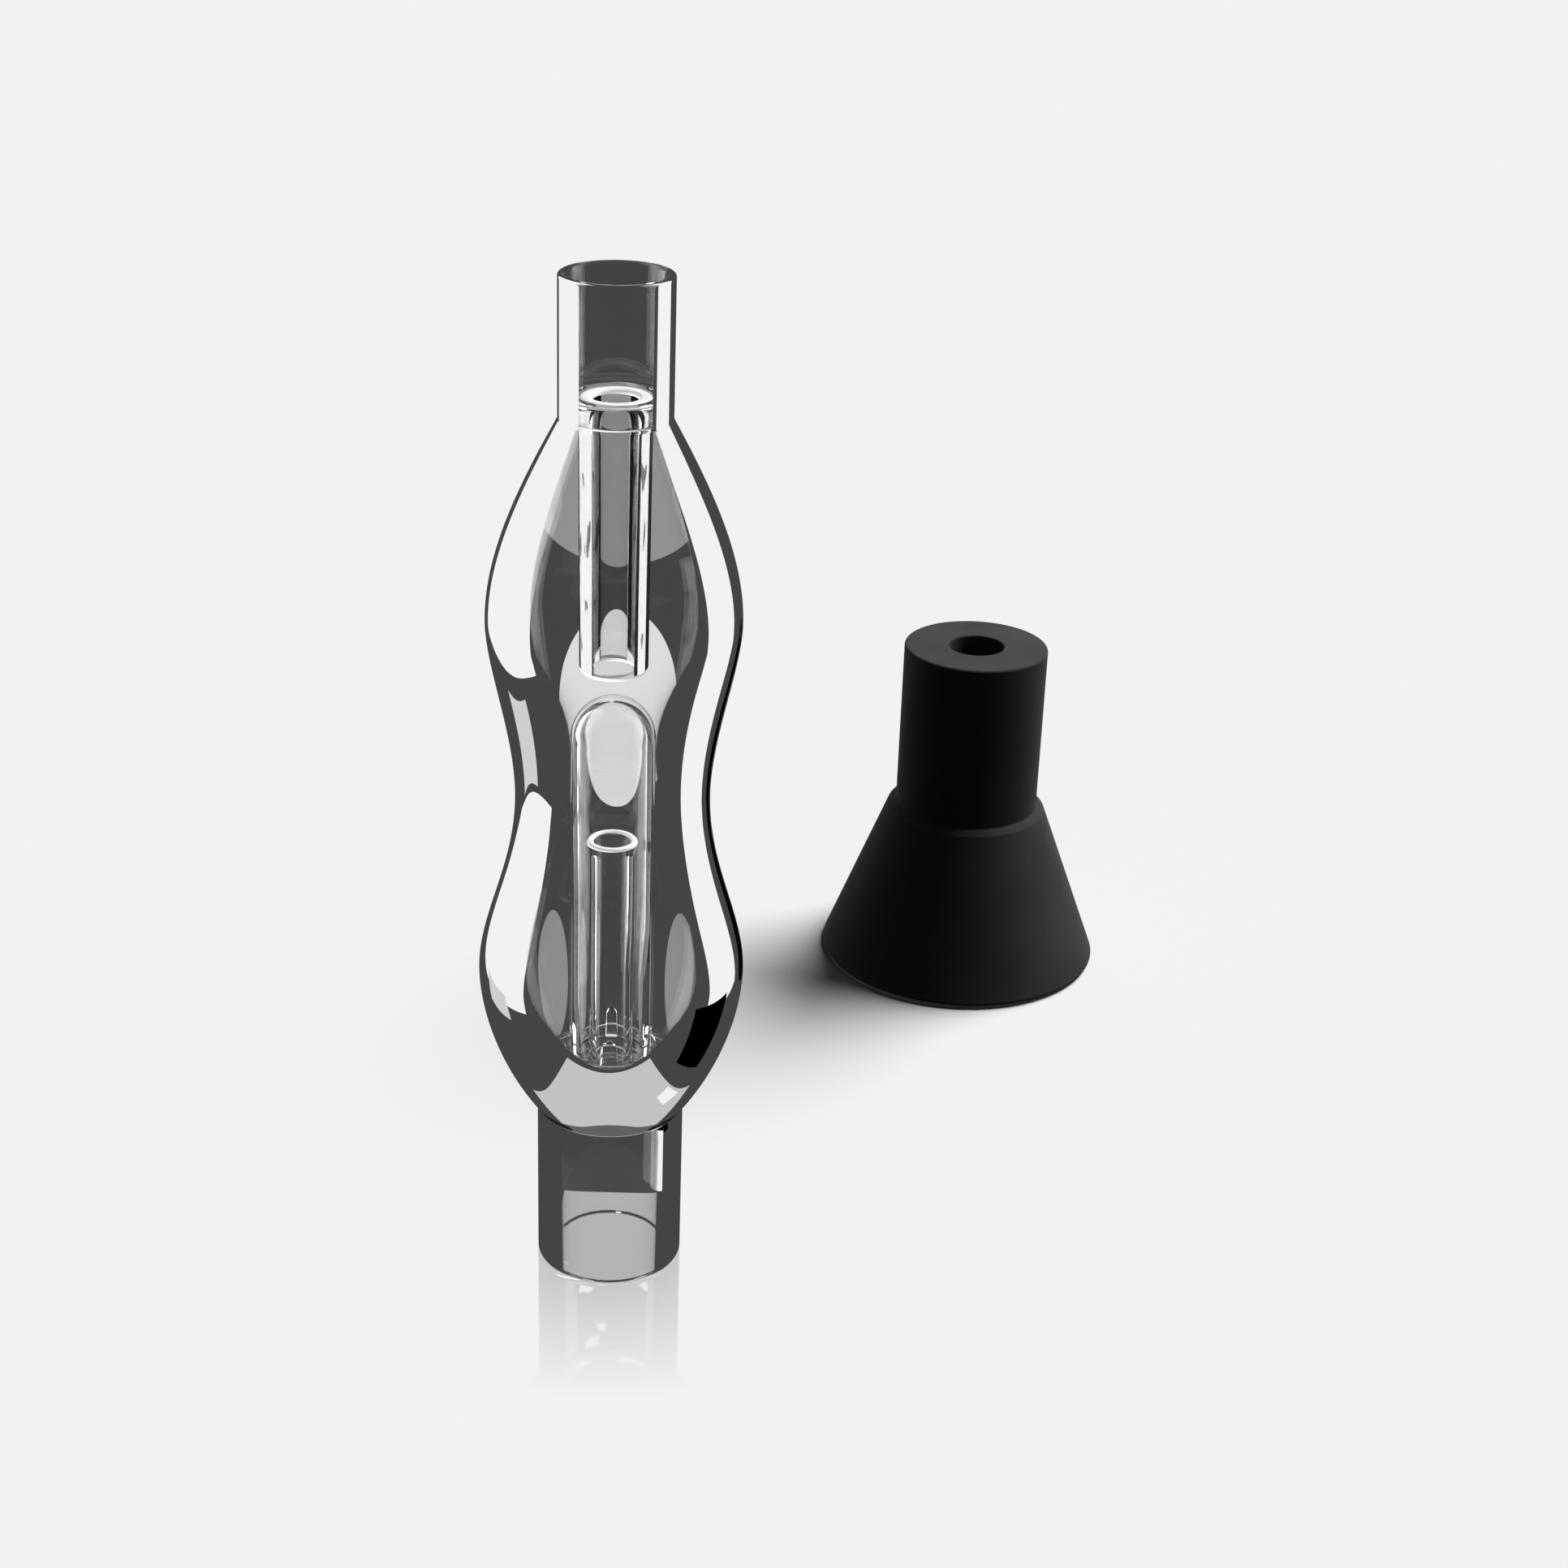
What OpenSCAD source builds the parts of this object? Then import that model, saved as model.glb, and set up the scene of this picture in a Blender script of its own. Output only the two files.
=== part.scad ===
// Fused glass bubbler airlock with a loose bell, and its rubber stopper standing beside it.
// Units are millimetres. The lock stands on its stem, on the plane z = 0, and its axis is Z.

/* [Glass envelope] */
// Height of the glass lock, from the foot of the stem to the rim of the neck
lock_h = 125; // [120:1:135]
// Outside diameter of the stem
stem_d = 18; // [16:0.5:20]
// Height of the corner where the stem opens into the lower bulb
stem_h = 21.5; // [19:0.5:22]
// Wall of the stem
stem_wall = 1.8; // [1.2:0.1:2.4]
// Largest outside diameter of the lower bulb
lower_bulb_d = 32; // [30:0.5:36]
// Outside diameter of the waist between the bulbs
waist_d = 23; // [21:0.5:26]
// Largest outside diameter of the upper bulb
upper_bulb_d = 29.6; // [28:0.5:33]
// Wall of the bulbs
bulb_wall = 1.4; // [1:0.1:1.6]
// Outside diameter of the neck
neck_d = 13; // [12.5:0.5:15]
// Length of the neck
neck_h = 16.3; // [14:0.1:17]
// Wall of the neck
neck_wall = 1; // [0.8:0.1:1.1]

/* [Inner glass] */
// Outside diameter of the dip tube at its lower end
dip_d = 8; // [7.6:0.1:8.2]
// Diameter of the dip tube's bore
dip_bore_d = 5.2; // [4.6:0.1:5.6]
// Outside diameter of the riser tube
riser_d = 5.4; // [5:0.1:5.6]
// Diameter of the riser tube's bore
riser_bore_d = 3.8; // [3.4:0.1:4]
// Outside diameter of the bell at its rim
bell_d = 10.2; // [10:0.1:10.3]
// Wall of the bell
bell_wall = 0.95; // [0.8:0.05:1]
// Number of gas notches in the bell's rim
notch_count = 4; // [3:1:6]

/* [Stopper] */
// Diameter of the stopper's wide end
stopper_d = 42; // [38:0.2:46]
// Diameter of the stopper's narrow cylinder
plug_d = 21.4; // [20:0.2:23]
// Height of the stopper's cone
cone_h = 25; // [22:0.5:27]
// Whole height of the stopper
stopper_h = 50.5; // [46:0.5:54]
// Diameter of the bore through the narrow end
plug_bore_d = 8.2; // [6:0.2:10]
// Centre of the stopper across from the lock
stopper_x = 51.2; // [48:0.2:60]
// Centre of the stopper behind the lock
stopper_y = 85; // [60:1:95]

/* [Hidden] */
$fn = 96;

// Stations along the envelope. The slopes are radius per height at the two corners.
neck_z = lock_h - neck_h;
upper_bulb_z = 84.9;
waist_z = 63.2;
lower_bulb_z = 40.4;
stem_slope = 0.75;
neck_slope = 0.54;
stem_r = stem_d / 2;
neck_r = neck_d / 2;
neck_bore_r = neck_r - neck_wall;
stem_bore_r = stem_r - stem_wall;
curve_steps = 14;

// How far the envelope's curves run on from each station before they turn.
stem_reach = 6.4;
lower_reach_down = 5.2;
lower_reach_up = 6.3;
waist_reach_down = 9.6;
waist_reach_up = 7.9;
upper_reach_down = 5.3;
upper_reach_up = 7.8;
neck_reach = 7.6;

// How far each fused piece runs into the glass that it is sealed to.
seal_bite = 0.3;

// Dip tube and the collar that seals it into the neck.
collar_h = 2.7;
collar_low_z = neck_z;
collar_high_z = neck_z + collar_h;
collar_r = neck_bore_r + seal_bite;
dip_low_z = 78.8;
dip_top_d = 8.4;

// Cup at the bottom of the bulbs: a round floor, and a mouth that locates the bell.
cup_centre_z = 29;
cup_r = 5.75;
cup_wall = 1.15;
cup_mouth_z = 29.4;
cup_ledge_z = 28;
bell_play = 0.15;
bell_gap = 0.05;
web_z = 25.4;
web_half = 0.6;
cup_steps = 10;

// Riser and its opened lip. Its foot stands a little above the underside of the cup.
riser_foot_rise = 0.6;
riser_top_z = 57.5;
riser_lip_r = 3.1;
riser_lip_h = 1.6;

// Bell, its dome and the notches that let the gas out.
bell_low_z = cup_ledge_z + bell_gap;
bell_top_z = 75.5;
bell_dome_r = 5;
notch_w = 2;
notch_h = 4;

// Stopper: socket for the stem in the wide end, and a narrow ledge above the cone.
socket_squeeze = 0.2;
socket_r = stem_r - socket_squeeze;
socket_h = 20;
ledge_w = 1.25;
cone_top_r = plug_d / 2 + ledge_w;
ledge_round = 0.6;
edge_round = 0.8;
eps = 0.01;

// Point at t on the cubic curve with these four control points.
function bezier(a, b, c, d, t) =
    pow(1 - t, 3) * a + 3 * pow(1 - t, 2) * t * b + 3 * (1 - t) * t * t * c + pow(t, 3) * d;

// Points [radius, height] along one curve. The first is left out, so that curves can be chained.
function curve(a, b, c, d) =
    [for (i = [1:curve_steps]) bezier(a, b, c, d, i / curve_steps)];

// Envelope from the stem's corner up to the neck's corner, for a wall that lies this far in.
function envelope(at_stem, at_bulbs, at_neck) =
    let (s = [stem_r - at_stem, stem_h], l = [lower_bulb_d / 2 - at_bulbs, lower_bulb_z],
         w = [waist_d / 2 - at_bulbs, waist_z], u = [upper_bulb_d / 2 - at_bulbs, upper_bulb_z],
         n = [neck_r - at_neck, neck_z])
    concat([s],
           curve(s, s + stem_reach * [stem_slope, 1], l - [0, lower_reach_down], l),
           curve(l, l + [0, lower_reach_up], w - [0, waist_reach_down], w),
           curve(w, w + [0, waist_reach_up], u - [0, upper_reach_down], u),
           curve(u, u + [0, upper_reach_up], n + neck_reach * [neck_slope, -1], n));

outer_line = envelope(0, 0, 0);
inner_line = envelope(stem_wall, bulb_wall, neck_wall);

// Radius of the envelope's inside at a height.
function inside_r(z) = lookup(z, [for (p = inner_line) [p[1], p[0]]]);

// Points on a circle about [0, z], from one angle to another, measured from straight down.
function bowl_arc(r, z, from, to, steps) =
    [for (i = [0:steps]) let (a = from + (to - from) * i / steps) [r * sin(a), z - r * cos(a)]];

module tube(r_out, r_in, low, high) {
    translate([0, 0, low])
        difference() {
            cylinder(r = r_out, h = high - low);
            translate([0, 0, -1]) cylinder(r = r_in, h = high - low + 2);
        }
}

// Neck, with a seat at its foot for the collar that is fused into it.
module neck_tube() {
    color("lightcyan")
        difference() {
            tube(neck_r, neck_bore_r, neck_z, lock_h);
            translate([0, 0, neck_z - 1]) cylinder(r = collar_r, h = collar_h + 1);
        }
}

module body_shell() {
    inward = [for (i = [len(inner_line) - 1:-1:0]) inner_line[i]];
    color("lightcyan") rotate_extrude() polygon(concat(outer_line, inward));
}

module stem_tube() {
    color("lightcyan") tube(stem_r, stem_bore_r, 0, stem_h);
}

// Collar of glass that joins the dip tube to the inside of the neck.
module neck_seal() {
    color("azure") tube(collar_r, dip_top_d / 2 - seal_bite, collar_low_z, collar_high_z);
}

module dip_tube() {
    color("azure")
        difference() {
            translate([0, 0, dip_low_z])
                cylinder(d1 = dip_d, d2 = dip_top_d, h = collar_high_z - dip_low_z);
            translate([0, 0, dip_low_z - 1])
                cylinder(d = dip_bore_d, h = collar_high_z - dip_low_z + 2);
        }
}

// Round floor of the water space, with a web out to the envelope and a mouth that holds the bell.
module base_seal() {
    cup_in_r = cup_r - cup_wall;
    hole_r = riser_d / 2 - seal_bite;
    mouth_r = bell_d / 2 + bell_play;
    web_low = web_z - web_half;
    web_high = web_z + web_half;
    low_turn = acos((cup_centre_z - web_low) / cup_r);
    high_turn = acos((cup_centre_z - web_high) / cup_r);
    color("azure")
        rotate_extrude()
            polygon(concat(
                bowl_arc(cup_r, cup_centre_z, asin(hole_r / cup_r), low_turn, cup_steps),
                [[inside_r(web_low) + seal_bite, web_low],
                 [inside_r(web_high) + seal_bite, web_high]],
                bowl_arc(cup_r, cup_centre_z, high_turn, 90, cup_steps),
                [[cup_r, cup_mouth_z], [mouth_r, cup_mouth_z], [mouth_r, cup_ledge_z]],
                bowl_arc(cup_in_r, cup_centre_z, acos((cup_centre_z - cup_ledge_z) / cup_in_r),
                         asin(hole_r / cup_in_r), cup_steps)));
}

// Tube that brings the gas up inside the bell. Its lip is opened a little.
module riser_tube() {
    low = cup_centre_z - cup_r + riser_foot_rise;
    lip_z = riser_top_z - riser_lip_h;
    wall = (riser_d - riser_bore_d) / 2;
    color("azure")
        rotate_extrude()
            polygon([[riser_bore_d / 2, low], [riser_d / 2, low], [riser_d / 2, lip_z],
                     [riser_lip_r, riser_top_z], [riser_lip_r - wall, riser_top_z],
                     [riser_bore_d / 2, lip_z]]);
}

module bell() {
    dome_z = bell_top_z - bell_dome_r;
    side_h = dome_z - bell_low_z;
    color("azure")
        difference() {
            union() {
                translate([0, 0, bell_low_z]) cylinder(d1 = bell_d, d2 = 2 * bell_dome_r, h = side_h);
                translate([0, 0, dome_z]) sphere(r = bell_dome_r);
            }
            translate([0, 0, bell_low_z - eps])
                cylinder(r1 = bell_d / 2 - bell_wall, r2 = bell_dome_r - bell_wall, h = side_h + eps);
            translate([0, 0, dome_z]) sphere(r = bell_dome_r - bell_wall);
            for (i = [0:notch_count - 1]) rotate([0, 0, 360 * i / notch_count]) notch();
        }
}

// One notch in the bell's rim: a slot with a round top.
module notch() {
    straight_h = notch_h - notch_w / 2;
    translate([bell_d / 4, -notch_w / 2, bell_low_z - 1])
        cube([bell_d / 2, notch_w, straight_h + 1]);
    translate([bell_d / 4, 0, bell_low_z + straight_h])
        rotate([0, 90, 0]) cylinder(d = notch_w, h = bell_d / 2);
}

// Moulded rubber: wide end down, as it stands on the bench.
module stopper() {
    base_r = stopper_d / 2;
    plug_r = plug_d / 2;
    bore_r = plug_bore_d / 2;
    color("black")
        translate([stopper_x, stopper_y, 0])
            rotate_extrude()
                polygon([[socket_r, 0], [base_r - edge_round / 2, 0], [base_r, edge_round],
                         [cone_top_r, cone_h - ledge_round], [cone_top_r - ledge_round, cone_h],
                         [plug_r, cone_h], [plug_r, stopper_h - edge_round / 2],
                         [plug_r - edge_round / 2, stopper_h], [bore_r, stopper_h],
                         [bore_r, socket_h], [socket_r, socket_h]]);
}

neck_tube();
body_shell();
stem_tube();
neck_seal();
dip_tube();
base_seal();
riser_tube();
bell();
stopper();
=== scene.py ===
import math

import bmesh
import bpy
from mathutils import Matrix, Vector


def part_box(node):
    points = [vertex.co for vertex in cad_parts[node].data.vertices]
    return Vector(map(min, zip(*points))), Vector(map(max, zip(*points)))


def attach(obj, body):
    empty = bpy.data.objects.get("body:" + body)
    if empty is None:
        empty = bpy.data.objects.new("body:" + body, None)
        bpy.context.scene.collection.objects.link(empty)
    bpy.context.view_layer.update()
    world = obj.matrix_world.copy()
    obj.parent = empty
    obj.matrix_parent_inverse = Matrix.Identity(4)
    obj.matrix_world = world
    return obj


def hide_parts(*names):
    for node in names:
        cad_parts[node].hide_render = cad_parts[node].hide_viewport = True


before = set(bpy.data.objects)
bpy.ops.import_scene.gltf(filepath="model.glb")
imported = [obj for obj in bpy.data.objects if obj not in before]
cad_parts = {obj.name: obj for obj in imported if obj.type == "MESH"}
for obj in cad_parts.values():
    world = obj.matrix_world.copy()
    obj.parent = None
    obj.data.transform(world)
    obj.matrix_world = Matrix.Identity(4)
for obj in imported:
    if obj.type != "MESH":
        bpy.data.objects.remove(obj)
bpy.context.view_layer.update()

MM = 0.001

# Sides of a turned piece, and the gap between glass pieces that touch.
SIDES = 192
CONTACT = 0.012 * MM

# The bell's radius is this much less at its dome, and these arches in its rim let the liquid in.
BELL_TAPER = 0.1 * MM
NOTCHES = 4
NOTCH_W = 2 * MM
NOTCH_H = 4 * MM

# The view through the walls is hardly bent in the shot, so the index is under that of solid glass.
# The cup and the lips have that of solid glass.
INDEX = 1.25
SOLID_INDEX = 1.47

# Colour of the glass, and the height of its faint waves.
ENVELOPE_TINT = (0.97, 0.975, 0.975)
ENVELOPE_WAVES = 0.04 * MM
TUBE_TINT = (0.985, 0.99, 0.99)
TUBE_WAVES = 0.02 * MM
DIP_TUBE_WAVES = 0.006 * MM

# How much light a slanted glass surface mirrors. The studio is brighter to match, so its windows look pale.
# The dip tube mirrors a little more.
MIRROR = 0.222
DIP_TUBE_SHINE = 1.2

# The glass turns to a mirror past a slant whose sine is this: 42 degrees, and 51 on the stem.
MIRROR_SINE = 1 / 1.5
STEM_MIRROR_SINE = 1 / 1.28

# The heights between which one slant turns into the other, from the top of the stem.
SLANT_FROM = -2 * MM
SLANT_TO = 18 * MM

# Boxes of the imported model's nodes, in metres.
neck_low, neck_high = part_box("neck_tube")
_, stem_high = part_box("stem_tube")
dip_low, dip_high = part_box("dip_tube")
collar_low, collar_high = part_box("neck_seal")
_, cup_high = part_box("base_seal")
riser_low, riser_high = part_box("riser_tube")
bell_low, bell_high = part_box("bell")
stopper_low, stopper_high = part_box("stopper")
stopper_place = ((stopper_low.x + stopper_high.x) / 2, (stopper_low.y + stopper_high.y) / 2)


# ---------------------------------------------------------------- outlines and lathed meshes

def ring_points(part, place=(0, 0)):
    """The exact (radius, height) of each ring of a turned node, under its height and radius to 0.01 mm."""
    found = {}
    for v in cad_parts[part].data.vertices:
        radius = math.hypot(v.co.x - place[0], v.co.y - place[1])
        found.setdefault((round(v.co.z, 5), round(radius, 5)), (radius, v.co.z))
    return found


def rings(part, place=(0, 0)):
    """The rings of a turned CAD node from low to high: (height, radii from small to large), to 0.01 mm."""
    found = {}
    for z, radius in sorted(ring_points(part, place)):
        found.setdefault(z, []).append(radius)
    return list(found.items())


def wall_lines(part, nearby=1.2 * MM):
    """The inside and the outside of a hollow CAD node, as (radius, height) points from low to high."""
    points = [exact for _, exact in sorted(ring_points(part).items())]
    inside, outside = [], []
    for r, z in points:
        near = [other for other, height in points if abs(height - z) < nearby]
        middle = (min(near) + max(near)) / 2
        (outside if r > middle else inside).append((r, z))
    return corners_of(inside), corners_of(outside)


def corners_of(line, least_turn=0.0005):
    """A line without its points in the middle of a straight facet."""
    kept = line[:1]
    for here, after in zip(line[1:], line[2:]):
        along = Vector(here) - Vector(kept[-1])
        if along.angle(Vector(after) - Vector(here)) > least_turn:
            kept.append(here)
    return kept + line[-1:]


def smooth_line(points, parts=3):
    """A Catmull-Rom curve through (radius, height) points."""
    line = []
    last = len(points) - 1
    for i in range(last):
        a, b, c, d = (Vector(points[max(0, min(last, i + k))]) for k in (-1, 0, 1, 2))
        for step in range(parts):
            t = step / parts
            bend = 2 * a - 5 * b + 4 * c - d + t * (3 * (b - c) + d - a)
            line.append(tuple(b + t / 2 * (c - a + t * bend)))
    return line + [points[-1]]


def arc(radius, height, start, end, steps=20):
    """Points of an arc about the axis point at a height. Angle 0 is down, and a right angle is level."""
    turns = (start + (end - start) * k / steps for k in range(steps + 1))
    return [(radius * math.sin(turn), height - radius * math.cos(turn), 0) for turn in turns]


def fillet(before, here, after, radius, steps=7):
    """The rounded corner at a point of an outline."""
    back = (before - here).normalized()
    on = (after - here).normalized()
    half = back.angle(on) / 2
    middle = here + (back + on).normalized() * radius / math.sin(half)
    start = here + back * radius / math.tan(half) - middle
    end = here + on * radius / math.tan(half) - middle
    turn = -start.angle_signed(end) / steps
    return [middle + Matrix.Rotation(turn * k, 2) @ start for k in range(steps + 1)]


def rounded(corners, support=0.05 * MM):
    """A closed outline of (radius, height, rounding) corners.

    A side beside a rounded corner has a point close to both its ends, which keeps it flat. The sides between
    points without rounding make a curve."""
    points = [Vector(corner[:2]) for corner in corners]
    bits = []
    for i, here in enumerate(points):
        rounding = corners[i][2]
        after = points[(i + 1) % len(points)]
        bits.append(fillet(points[i - 1], here, after, rounding) if rounding else [here])
    outline = []
    for bit, following in zip(bits, bits[1:] + bits[:1]):
        outline += bit
        gap = following[0] - bit[-1]
        if gap.length > 8 * support and len(bit) + len(following) > 2:
            outline += [bit[-1] + gap.normalized() * support, following[0] - gap.normalized() * support]
    return [tuple(point) for point in outline]


def lathe(name, outline, place=(0, 0), on_axis=0.001 * MM):
    """A smooth closed piece, turned about a vertical axis from (radius, height) points."""
    mesh = bmesh.new()
    rows = []
    for radius, height in outline:
        turns = (math.tau * k / SIDES for k in range(SIDES if radius > on_axis else 1))
        rows.append([mesh.verts.new((place[0] + radius * math.cos(turn),
                                     place[1] + radius * math.sin(turn), height)) for turn in turns])
    for low, high in zip(rows, rows[1:] + rows[:1]):
        for k in range(SIDES):
            corners = [row[i % len(row)] for row, i in ((low, k), (low, k + 1), (high, k + 1), (high, k))]
            corners = list(dict.fromkeys(corners))
            if len(corners) > 2:
                mesh.faces.new(corners)
    bmesh.ops.recalc_face_normals(mesh, faces=mesh.faces)
    for face in mesh.faces:
        face.smooth = True
    data = bpy.data.meshes.new(name)
    mesh.to_mesh(data)
    mesh.free()
    piece = bpy.data.objects.new(name, data)
    bpy.context.scene.collection.objects.link(piece)
    return piece


# ---------------------------------------------------------------- materials

def add_node(tree, kind, **settings):
    made = tree.nodes.new(kind)
    for name, value in settings.items():
        setattr(made, name, value)
    return made


def noise(tree, scale, detail=3.0, stretch=(1, 1, 1)):
    """Noise over the object's own coordinates, which are in metres."""
    place = add_node(tree, "ShaderNodeTexCoord")
    mapping = add_node(tree, "ShaderNodeMapping")
    mapping.inputs["Scale"].default_value = stretch
    tree.links.new(place.outputs["Object"], mapping.inputs["Vector"])
    texture = add_node(tree, "ShaderNodeTexNoise")
    texture.inputs["Scale"].default_value = scale
    texture.inputs["Detail"].default_value = detail
    tree.links.new(mapping.outputs["Vector"], texture.inputs["Vector"])
    return texture.outputs["Fac"]


def ranged(tree, value, low, high, to_low, to_high):
    made = add_node(tree, "ShaderNodeMapRange")
    for name, number in (("From Min", low), ("From Max", high), ("To Min", to_low), ("To Max", to_high)):
        made.inputs[name].default_value = number
    tree.links.new(value, made.inputs["Value"])
    return made.outputs["Result"]


def maths(tree, operation, *values):
    """A Math node over numbers and sockets."""
    made = add_node(tree, "ShaderNodeMath", operation=operation)
    for socket, value in zip(made.inputs, values):
        if isinstance(value, (int, float)):
            socket.default_value = value
        else:
            tree.links.new(value, socket)
    return made.outputs[0]


def chosen(tree, switch, off, on):
    """One value where a switch is 0, and the other where it is 1."""
    made = add_node(tree, "ShaderNodeMix")
    for socket, value in (("Factor", switch), ("A", off), ("B", on)):
        if isinstance(value, (int, float)):
            made.inputs[socket].default_value = value
        else:
            tree.links.new(value, made.inputs[socket])
    return made.outputs["Result"]


def bump(tree, height, distance, strength, under=None):
    made = add_node(tree, "ShaderNodeBump")
    made.inputs["Distance"].default_value = distance
    made.inputs["Strength"].default_value = strength
    tree.links.new(height, made.inputs["Height"])
    if under:
        tree.links.new(under, made.inputs["Normal"])
    return made.outputs["Normal"]


def new_material(name):
    material = bpy.data.materials.new(name)
    material.use_nodes = True
    return material, material.node_tree, material.node_tree.nodes["Principled BSDF"]


def mixed(tree, share, first, second):
    """A Mix Shader, set as the surface of its material."""
    mix = add_node(tree, "ShaderNodeMixShader")
    tree.links.new(share, mix.inputs[0])
    tree.links.new(first.outputs[0], mix.inputs[1])
    tree.links.new(second.outputs[0], mix.inputs[2])
    tree.links.new(mix.outputs[0], tree.nodes["Material Output"].inputs["Surface"])


def glass(name, tint, waviness, index=INDEX):
    """Clear glass with faint waves along the tube and an uneven polish."""
    material, tree, shader = new_material(name)
    shader.inputs["Base Color"].default_value = (*tint, 1)
    shader.inputs["Transmission Weight"].default_value = 1
    shader.inputs["IOR"].default_value = index
    polish = ranged(tree, noise(tree, scale=160, detail=4), 0.5, 0.85, 0.0, 0.012)
    tree.links.new(polish, shader.inputs["Roughness"])
    waves = bump(tree, noise(tree, scale=120, detail=2, stretch=(1, 1, 0.35)), waviness, strength=0.5)
    tree.links.new(waves, shader.inputs["Normal"])
    return material


def lip_painted_highlight(name):
    """The fire-polished end of a tube, coloured near-white all the way round as a painted highlight for the
    light its rim catches, with a translucent layer that lets light through.
    """
    material, tree, shader = new_material(name)
    # Painted highlight: a near-white colour on clear glass stands in for the light that the rim catches.
    shader.inputs["Base Color"].default_value = (0.92, 0.92, 0.92, 1)
    shader.inputs["IOR"].default_value = SOLID_INDEX
    clouds = noise(tree, scale=900, detail=3)
    tree.links.new(ranged(tree, clouds, 0.3, 0.8, 0.25, 0.4), shader.inputs["Roughness"])
    tree.links.new(bump(tree, clouds, distance=0.02 * MM, strength=0.3), shader.inputs["Normal"])
    through = add_node(tree, "ShaderNodeBsdfTranslucent")
    through.inputs["Color"].default_value = (0.9, 0.9, 0.9, 1)
    both = add_node(tree, "ShaderNodeAddShader")
    tree.links.new(shader.outputs[0], both.inputs[0])
    tree.links.new(through.outputs[0], both.inputs[1])
    tree.links.new(both.outputs[0], tree.nodes["Material Output"].inputs["Surface"])
    return material


def mirror_at_a_slant(material, strength=1):
    """Past a certain slant the glass is a mirror: it has the gloss of a surface that is met from within."""
    tree = material.node_tree
    shader = tree.nodes["Principled BSDF"]
    waves = shader.inputs["Normal"].links[0].from_socket
    mirror = add_node(tree, "ShaderNodeBsdfAnisotropic")
    mirror.inputs["Roughness"].default_value = 0.0
    mirror.inputs["Color"].default_value = (MIRROR * strength,) * 3 + (1,)
    tree.links.new(waves, mirror.inputs["Normal"])
    slant = add_node(tree, "ShaderNodeFresnel")
    place = add_node(tree, "ShaderNodeTexCoord")
    split = add_node(tree, "ShaderNodeSeparateXYZ")
    tree.links.new(place.outputs["Object"], split.inputs[0])
    low, high = stem_high.z + SLANT_FROM, stem_high.z + SLANT_TO
    sine = ranged(tree, split.outputs["Z"], low, high, STEM_MIRROR_SINE, MIRROR_SINE)
    tree.links.new(sine, slant.inputs["IOR"])
    mixed(tree, slant.outputs[0], shader, mirror)
    return material


def rubber(name):
    """Black moulded rubber: fine grain, and a faint cloudy bloom."""
    material, tree, shader = new_material(name)
    shader.inputs["Specular IOR Level"].default_value = 0.03
    clouds = noise(tree, scale=90, detail=5)
    mix = add_node(tree, "ShaderNodeMix", data_type="RGBA")
    mix.inputs["A"].default_value = (0.042, 0.042, 0.0425, 1)
    mix.inputs["B"].default_value = (0.062, 0.062, 0.0625, 1)
    tree.links.new(ranged(tree, clouds, 0.35, 0.75, 0, 1), mix.inputs["Factor"])
    tree.links.new(mix.outputs["Result"], shader.inputs["Base Color"])
    tree.links.new(ranged(tree, clouds, 0.3, 0.8, 0.46, 0.58), shader.inputs["Roughness"])
    grain = bump(tree, noise(tree, scale=4200, detail=2), distance=0.03 * MM, strength=0.3)
    both = bump(tree, noise(tree, scale=500, detail=4), distance=0.08 * MM, strength=0.2, under=grain)
    tree.links.new(both, shader.inputs["Normal"])
    return material


def glow(name, strength):
    """A plain light for the stage's cards: the material, its tree and the light's node."""
    material, tree, shader = new_material(name)
    tree.nodes.remove(shader)
    light = add_node(tree, "ShaderNodeEmission")
    light.inputs["Strength"].default_value = strength
    tree.links.new(light.outputs[0], tree.nodes["Material Output"].inputs["Surface"])
    material.cycles.emission_sampling = "NONE"
    return material, tree, light


# ---------------------------------------------------------------- pieces

def finish_piece(piece, body, slot, material, *parts):
    """Gives a piece its material and its body, and hides the CAD nodes that it stands for. The slot is not
    used.
    """
    piece.data.materials.append(material)
    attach(piece, body)
    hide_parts(*parts)
    return piece


def clear(piece):
    """Light goes through glass to what is beside it: it throws no shadow and darkens nothing."""
    piece.visible_shadow = False
    piece.visible_diffuse = False
    return piece


def paint_highlight_on_ends(piece, material, *ends):
    """Gives the faces between pairs of heights a tube end's painted highlight: the white lip material."""
    piece.data.materials.append(material)
    for face in piece.data.polygons:
        if any(low <= face.center.z <= high for low, high in ends):
            face.material_index = len(piece.data.materials) - 1
    return clear(piece)


def build_envelope(material, inner_material):
    """Neck, two bulbs and stem are one blown piece, with fire-polished rims."""
    inside, outside = wall_lines("body_shell")
    neck_r, stem_r = neck_high.x, stem_high.x
    neck_bore = rings("neck_tube")[-1][1][0]
    stem_bore = rings("stem_tube")[0][1][0]
    corners = [(stem_r, 0, 0.5 * MM), (stem_r, stem_high.z, 0.3 * MM)]
    corners += [(r, z, 0) for r, z in smooth_line(outside)[1:-1]]
    corners += [(neck_r, neck_low.z, 0.3 * MM), (neck_r, neck_high.z, 0.35 * MM)]
    corners += [(neck_bore, neck_high.z, 0.35 * MM), (neck_bore, neck_low.z, 0.3 * MM)]
    corners += [(r, z, 0) for r, z in smooth_line(inside)[-2:0:-1]]
    corners += [(stem_bore, stem_high.z, 0.3 * MM), (stem_bore, 0, 0.5 * MM)]
    piece = lathe("glass_envelope", rounded(corners))
    finish_piece(piece, "glass_lock", "envelope_glass", material, "neck_tube", "body_shell", "stem_tube")
    piece.data.materials.append(inner_material)
    for face in piece.data.polygons:
        outward = face.normal.x * face.center.x + face.normal.y * face.center.y > 0
        face.material_index = 0 if outward else 1
    return clear(piece)


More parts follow.
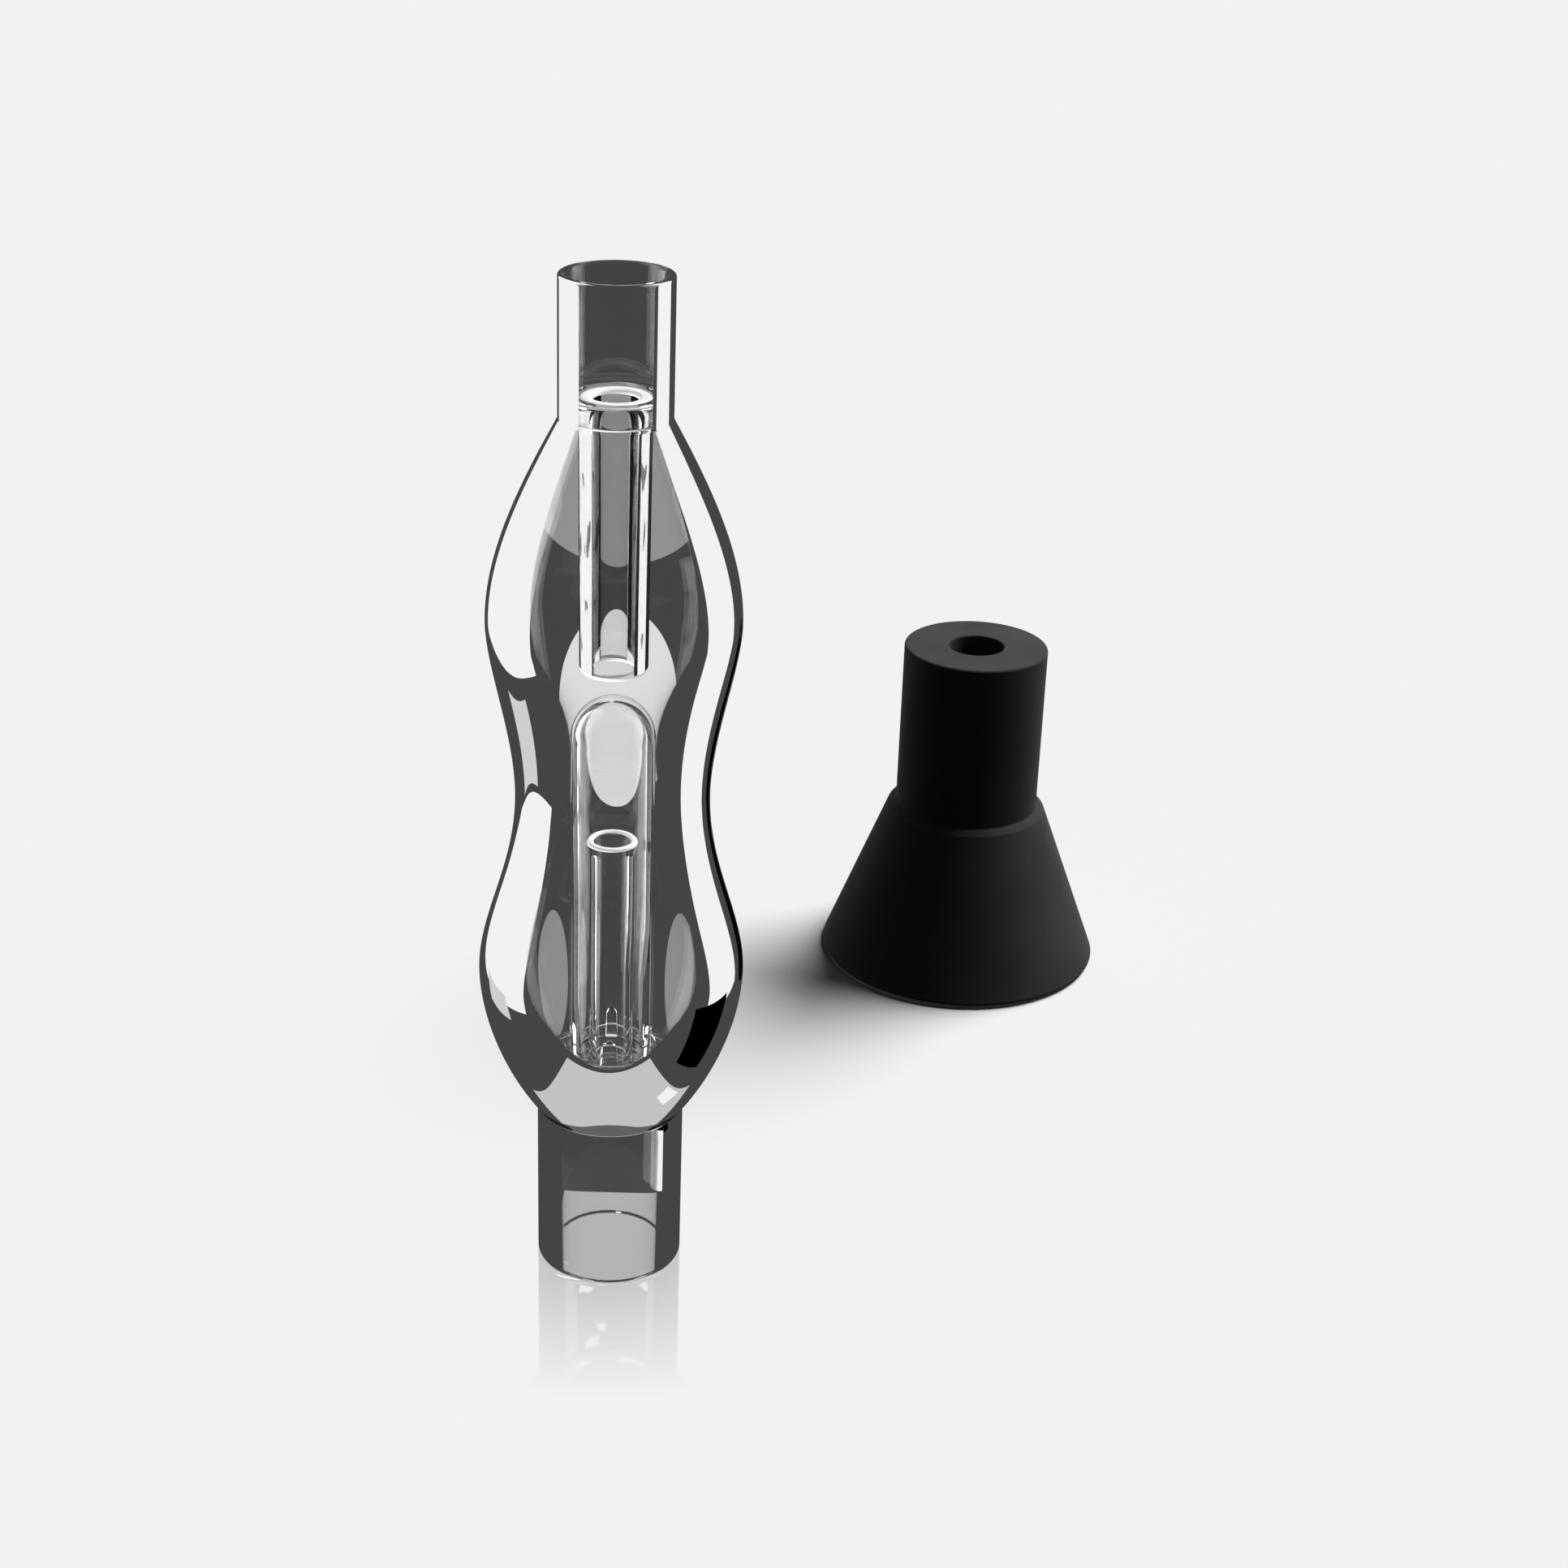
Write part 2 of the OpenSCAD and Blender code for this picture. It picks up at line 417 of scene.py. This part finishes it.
def build_collar(material, highlight_lip_material):
    """The ring of glass that holds the dip tube in the neck."""
    outer = rings("neck_tube")[-1][1][0] - CONTACT
    inner = dip_high.x + CONTACT
    low, high = collar_low.z, collar_high.z
    edge = 0.25 * MM
    outline = rounded([(inner, low, 0), (outer, low, edge), (outer, high, edge), (inner, high, 0)])
    piece = finish_piece(lathe("neck_seal_ring", outline), "glass_lock", "inner_glass", material, "neck_seal")
    # The slanted edges get the white lip material: a painted highlight.
    piece.data.materials.append(highlight_lip_material)
    for face in piece.data.polygons:
        at_edge = min(face.center.z - low, high - face.center.z) < edge
        face.material_index = 1 if at_edge and 0.1 < abs(face.normal.z) < 0.99 else 0
    return clear(piece)


def build_dip_tube(material, highlight_lip_material):
    """The tube that hangs from the neck, a little narrower at its lower end."""
    bore, low_r = rings("dip_tube")[0][1]
    low, high = dip_low.z, dip_high.z
    lip = (low_r - bore) * 0.4
    outline = rounded([(bore, low, lip), (low_r, low, lip), (dip_high.x, high, lip), (bore, high, lip)])
    piece = finish_piece(lathe("dip_tube_glass", outline), "glass_lock", "inner_glass", material, "dip_tube")
    # Both ends get the white lip material: a painted highlight.
    return paint_highlight_on_ends(piece, highlight_lip_material, (low, low + lip), (high - lip, high))


def build_cup(material):
    """The round floor under the bell, with the web that joins it to the envelope."""
    levels = rings("base_seal")
    mouth, rim = levels[-1][1]
    middle = levels[-2][0]
    ledge, (ledge_in, _) = next(level for level in levels if mouth in level[1])
    inner_r = math.hypot(ledge_in, middle - ledge)
    web = [z for z, radii in levels if radii[-1] > 1.5 * rim]
    web_low, web_high = web[0], web[-1]
    # The CAD node bites this far into the bulb's wall. The web's edge slants by this much, as the wall does.
    bite, slant = 0.3 * MM, 0.8 * MM
    web_r = cup_high.x - bite - CONTACT
    hole = riser_side_r() + CONTACT
    # Beside the web, the arcs stop short of these turns, to leave room for the rounding.
    low_turn = math.acos((middle - web_low) / rim)
    high_turn = math.acos((middle - web_high) / rim)
    corners = arc(rim, middle, math.asin(hole / rim), low_turn - 0.03)
    corners += [(rim * math.sin(low_turn), web_low, 0.5 * MM), (web_r - slant, web_low, 0)]
    corners += [(web_r, web_high, 0), (rim * math.sin(high_turn), web_high, 0.4 * MM)]
    corners += arc(rim, middle, high_turn + 0.12, math.pi / 2 - 0.02)
    corners += [(rim, cup_high.z, 0.2 * MM), (mouth, cup_high.z, 0.2 * MM), (mouth, ledge, 0.1 * MM)]
    corners += arc(inner_r, middle, math.acos((middle - ledge) / inner_r), math.asin(hole / inner_r))
    piece = lathe("cup_glass", rounded(corners))
    return clear(finish_piece(piece, "glass_lock", "inner_glass", material, "base_seal"))


def riser_side_r():
    """Outer radius of the riser's straight part."""
    return rings("riser_tube")[0][1][1]


def build_riser(material, highlight_lip_material):
    """The thin tube that comes up through the cup, flared at its top."""
    levels = rings("riser_tube")
    bore, outer = levels[0][1]
    lip_bore, lip_r = levels[-1][1]
    lip_z = next(z for z, radii in levels[1:] if radii[-1] >= outer)
    low, high = riser_low.z, riser_high.z
    corners = [(bore, low, 0.15 * MM), (outer, low, 0.15 * MM), (outer, lip_z, 1.2 * MM)]
    corners += [(lip_r, high, 0.32 * MM), (lip_bore, high, 0.32 * MM), (bore, lip_z, 1.2 * MM)]
    piece = lathe("riser_glass", rounded(corners))
    finish_piece(piece, "glass_lock", "inner_glass", material, "riser_tube")
    # The flared top gets the white lip material: a painted highlight.
    return paint_highlight_on_ends(piece, highlight_lip_material, (high - 0.4 * MM, high))


def notch_lift(turn, radius):
    """How far the bell's rim rises at a turn, under the arches that let the liquid in."""
    spacing = math.tau / NOTCHES
    off = (turn + spacing / 2) % spacing - spacing / 2
    across = radius * math.sin(off) / (NOTCH_W / 2)
    if abs(across) >= 1:
        return 0.0
    return NOTCH_H - NOTCH_W / 2 * (1 - math.sqrt(1 - across ** 2))


def build_bell(material):
    """The loose bell over the riser: a round dome on a short tube, with arches in its rim."""
    bore, rim_r = rings("bell")[0][1]
    wall = rim_r - bore
    dome_r = rim_r - BELL_TAPER
    dome_z = bell_high.z - dome_r
    corners = [(bore, bell_low.z, 0.3 * MM), (rim_r, bell_low.z, 0.3 * MM)]
    corners += arc(dome_r, dome_z, math.pi / 2, math.pi, 24)
    corners += arc(dome_r - wall, dome_z, math.pi, math.pi / 2, 24)
    piece = lathe("bell_glass", rounded(corners))
    for v in piece.data.vertices:
        if v.co.z < bell_low.z + 1 * MM:
            v.co.z += notch_lift(math.atan2(v.co.y, v.co.x), rim_r)
    return clear(finish_piece(piece, "bell", "inner_glass", material, "bell"))


def build_stopper(material):
    """A tapered stopper with a plain plug on top, a wide socket below and a bore between them."""
    levels = rings("stopper", stopper_place)
    socket, foot_in = levels[0][1]
    foot_z, (foot_r,) = levels[1]
    bore = levels[-1][1][0]
    high = stopper_high.z
    plug_r = levels[-2][1][-1]
    ledge = max(i for i, (_, radii) in enumerate(levels) if radii[-1] > plug_r)
    ledge_z, (_, ledge_r) = levels[ledge]
    cone_z, (cone_r,) = levels[ledge - 1]
    socket_z = max(z for z, radii in levels if socket in radii)
    corners = [(socket, 0, 0.4 * MM), (foot_in, 0, 0.1 * MM), (foot_r, foot_z, 0.5 * MM)]
    corners += [(cone_r, cone_z, 0.3 * MM), (ledge_r, ledge_z, 0.2 * MM), (plug_r, ledge_z, 0.25 * MM)]
    corners += [(plug_r, high, 0.4 * MM), (bore, high, 0.3 * MM), (bore, socket_z, 0.5 * MM)]
    corners += [(socket, socket_z, 0.5 * MM)]
    piece = lathe("rubber_stopper", rounded(corners), stopper_place)
    return finish_piece(piece, "stopper", "black_rubber", material, "stopper")


# ---------------------------------------------------------------- studio

# How bright the backdrop is, the room round the glass, and the square below the glass.
PALE = 0.888
DARK = 0.058
LIGHT_GREY = 0.54

# The square's half width for each unit down, the fill that dull surfaces get from above, and how far over
# the level a direction counts as above.
SQUARE_SLOPE = 0.58
FILL = 0.03
ABOVE = 0.1

# The windows' strength. The glass mirrors MIRROR of it.
WINDOW = 4.0

# The floor, 4 m in radius. Its polish fades out between two distances from the foot's middle.
FLOOR_COLOUR = (0.8, 0.8, 0.8)
FLOOR_RADIUS = 4
POLISH_SHARE = 0.4
POLISH_ROUGHNESS = 0.05
POLISH_RADII = (8 * MM, 32 * MM)

# The key light and the camera. Angles are in degrees.
KEY_ENERGY = 4.62
KEY_ANGLE = 42
KEY_FROM = (0.75, 0.45, 0.95)
CAMERA_PLACE = (10.0 * MM, -281.0 * MM, 189.7 * MM)
CAMERA_DOWN = 24
CAMERA_ROLL = 1.3


def build_world():
    """Pale to the camera. To the glass, a dark room with a light grey square straight below."""
    world = bpy.data.worlds.new("studio")
    bpy.context.scene.world = world
    world.use_nodes = True
    world.cycles.sampling_method = "NONE"
    tree = world.node_tree
    tree.nodes.clear()
    place = add_node(tree, "ShaderNodeTexCoord")
    split = add_node(tree, "ShaderNodeSeparateXYZ")
    tree.links.new(place.outputs["Generated"], split.inputs[0])
    down = maths(tree, "MULTIPLY", split.outputs["Z"], -SQUARE_SLOPE)
    beside = maths(tree, "LESS_THAN", maths(tree, "ABSOLUTE", split.outputs["X"]), down)
    before = maths(tree, "LESS_THAN", maths(tree, "ABSOLUTE", split.outputs["Y"]), down)
    square = maths(tree, "MULTIPLY", beside, before)
    room = maths(tree, "ADD", DARK, maths(tree, "MULTIPLY", square, LIGHT_GREY - DARK))
    bright_room = maths(tree, "MULTIPLY", room, 1 / MIRROR)
    above = maths(tree, "GREATER_THAN", split.outputs["Z"], ABOVE)

    path = add_node(tree, "ShaderNodeLightPath")
    shiny = path.outputs["Is Glossy Ray"]
    dull = maths(tree, "SUBTRACT", 1, path.outputs["Is Singular Ray"])
    from_floor = maths(tree, "MULTIPLY", dull, maths(tree, "MULTIPLY", shiny, above))
    fill = ranged(tree, split.outputs["Z"], -ABOVE, ABOVE, 0.0, FILL)
    light = chosen(tree, shiny, fill, bright_room)
    light = chosen(tree, path.outputs["Is Transmission Ray"], light, room)
    light = chosen(tree, from_floor, light, PALE)
    light = chosen(tree, path.outputs["Is Camera Ray"], light, PALE)
    background = add_node(tree, "ShaderNodeBackground")
    tree.links.new(light, background.inputs["Color"])
    output = add_node(tree, "ShaderNodeOutputWorld")
    tree.links.new(background.outputs[0], output.inputs["Surface"])


def stage_sheet(name, corners, material):
    """A flat sheet of the stage."""
    data = bpy.data.meshes.new(name)
    data.from_pydata(corners, [], [list(range(len(corners)))])
    data.materials.append(material)
    made = bpy.data.objects.new(name, data)
    bpy.context.scene.collection.objects.link(made)
    return made


def oval(centre, across, along, sides=96):
    """Corners of an oval sheet about a centre, from its two half axes."""
    turns = (math.tau * k / sides for k in range(sides))
    return [tuple(centre + across * math.cos(turn) + along * math.sin(turn)) for turn in turns]


def hide_from_camera(sheet, glossy):
    """The sheet is seen only by way of the glass: through it and, where glossy is true, mirrored in it."""
    sheet.visible_camera = False
    sheet.visible_diffuse = False
    sheet.visible_shadow = False
    sheet.visible_glossy = glossy


def softbox(name, x, depth, height, strength):
    """An upright light beside the object, in mm. It has its strength where the glass mirrors it once.

    What the glass mirrors twice doesn't see it. To the floor's polish, and straight through the glass, it is
    as pale as the backdrop."""
    material, tree, light = glow(name, strength)
    path = add_node(tree, "ShaderNodeLightPath")
    mirrored = maths(tree, "MULTIPLY", path.outputs["Is Singular Ray"],
                     maths(tree, "GREATER_THAN", path.outputs["Glossy Depth"], 0.5))
    once = maths(tree, "LESS_THAN", path.outputs["Glossy Depth"], 1.5)
    shown = chosen(tree, mirrored, PALE, strength)
    tree.links.new(chosen(tree, once, DARK / MIRROR, shown), light.inputs["Strength"])
    corners = [(x * MM, depth[i] * MM, height[k] * MM) for i, k in ((0, 0), (1, 0), (1, 1), (0, 1))]
    hide_from_camera(stage_sheet(name, corners, material), True)


def grey_card(name, corners, strength):
    """A card behind or under the glass, seen only through it."""
    material, _, _ = glow(name, strength)
    hide_from_camera(stage_sheet(name, corners, material), False)


def build_floor():
    """Plain pale floor, with a faint polish round the foot of the glass."""
    material, tree, shader = new_material("pale_floor")
    tree.nodes.remove(shader)
    diffuse = add_node(tree, "ShaderNodeBsdfDiffuse")
    diffuse.inputs["Color"].default_value = (*FLOOR_COLOUR, 1)
    polish = add_node(tree, "ShaderNodeBsdfAnisotropic")
    polish.inputs["Roughness"].default_value = POLISH_ROUGHNESS
    polish.inputs["Color"].default_value = (1, 1, 1, 1)
    place = add_node(tree, "ShaderNodeTexCoord")
    length = add_node(tree, "ShaderNodeVectorMath", operation="LENGTH")
    tree.links.new(place.outputs["Object"], length.inputs[0])
    mixed(tree, ranged(tree, length.outputs["Value"], *POLISH_RADII, POLISH_SHARE, 0.0), diffuse, polish)
    across, along = Vector((FLOOR_RADIUS, 0, 0)), Vector((0, FLOOR_RADIUS, 0))
    floor = stage_sheet("floor", oval(Vector((0, 0, 0)), across, along), material)
    floor.visible_diffuse = False
    floor.visible_glossy = False
    floor.visible_transmission = False


def build_mirrored_cards():
    """Two windows, a grey card on the left, a black flag by the lower bulb and a small light by the stem."""
    softbox("left_softbox", -440, (-118, 677), (-200, 1200), WINDOW)
    softbox("right_softbox", 85, (-6, 65), (-5, 330), WINDOW)
    softbox("low_card", -130, (11, 81), (-47, -12), 0.62 / MIRROR)
    softbox("black_flag", 30, (-16, 2), (6, 32), 0.0)
    softbox("side_card", 16, (-11, -5), (6, 15), PALE / MIRROR)


def build_seen_through_cards():
    """The patches seen through the foot, the waist, the shoulder and the lower bulb."""
    sideways, back, up = Vector((MM, 0, 0)), Vector((0, MM, 0)), Vector((0, 0, MM))
    half_width, far, sunk = 8.9, 13, 0.05
    # The half of an oval that is nearer to the camera, with a straight back.
    front = oval(-sunk * up, half_width * sideways, -half_width * back)[:49]
    far_corners = [(side * half_width * MM, far * MM, -sunk * MM) for side in (-1, 1)]
    grey_card("foot_card", front + far_corners, 0.48)
    grey_card("waist_card", oval(66 * up + 20 * back, 8.2 * sideways, 13 * up), 0.85)
    grey_card("shoulder_card", oval(96 * up + 20 * back, 13 * sideways, 11.5 * up), 0.33)
    for name, side in (("left_bulb_card", -1), ("right_bulb_card", 1)):
        centre = 27.5 * up + 21 * back + side * 9 * sideways
        grey_card(name, oval(centre, 2.2 * sideways, 10 * up), 0.3)


def build_key_light():
    """One large soft key from the right, behind and above. It sets the floor's brightness and the shadow."""
    light = bpy.data.lights.new("key", "SUN")
    light.energy = KEY_ENERGY
    light.angle = math.radians(KEY_ANGLE)
    lamp = bpy.data.objects.new("key", light)
    bpy.context.scene.collection.objects.link(lamp)
    lamp.rotation_euler = Vector(KEY_FROM).to_track_quat("Z", "Y").to_euler()
    lamp.visible_glossy = False
    lamp.visible_transmission = False


def build_camera():
    """Looks down at the bench with a 60 mm lens, turned a little, as the product shot is."""
    data = bpy.data.cameras.new("camera")
    data.lens = 60
    data.sensor_width = 36
    data.shift_x = 0.055
    data.clip_start = 0.01
    data.clip_end = 20
    camera = bpy.data.objects.new("camera", data)
    bpy.context.scene.collection.objects.link(camera)
    camera.location = CAMERA_PLACE
    pitch = Matrix.Rotation(math.radians(90 - CAMERA_DOWN), 3, "X")
    roll = Matrix.Rotation(math.radians(CAMERA_ROLL), 3, "Z")
    camera.rotation_euler = (pitch @ roll).to_euler()
    bpy.context.scene.camera = camera


def set_up_render():
    scene = bpy.context.scene
    scene.view_settings.view_transform = "Standard"
    scene.view_settings.look = "None"
    scene.cycles.max_bounces = 28
    scene.cycles.transmission_bounces = 28
    scene.cycles.glossy_bounces = 12
    scene.cycles.caustics_reflective = False
    scene.cycles.caustics_refractive = False


def main():
    set_up_render()
    build_camera()
    build_world()
    build_floor()
    build_mirrored_cards()
    build_seen_through_cards()
    build_key_light()
    envelope_glass = mirror_at_a_slant(glass("envelope_glass", ENVELOPE_TINT, ENVELOPE_WAVES))
    dip_glass = mirror_at_a_slant(glass("dip_glass", TUBE_TINT, DIP_TUBE_WAVES), DIP_TUBE_SHINE)
    inner_glass = glass("inner_glass", TUBE_TINT, TUBE_WAVES)
    build_envelope(envelope_glass, inner_glass)
    # The white lip material is a painted highlight on the tube ends and the collar's edges.
    lip = lip_painted_highlight("lip_painted_highlight")
    build_collar(inner_glass, lip)
    build_dip_tube(dip_glass, lip)
    build_cup(glass("cup_glass", TUBE_TINT, TUBE_WAVES, SOLID_INDEX))
    build_riser(inner_glass, lip)
    build_bell(inner_glass)
    build_stopper(rubber("black_rubber"))


main()
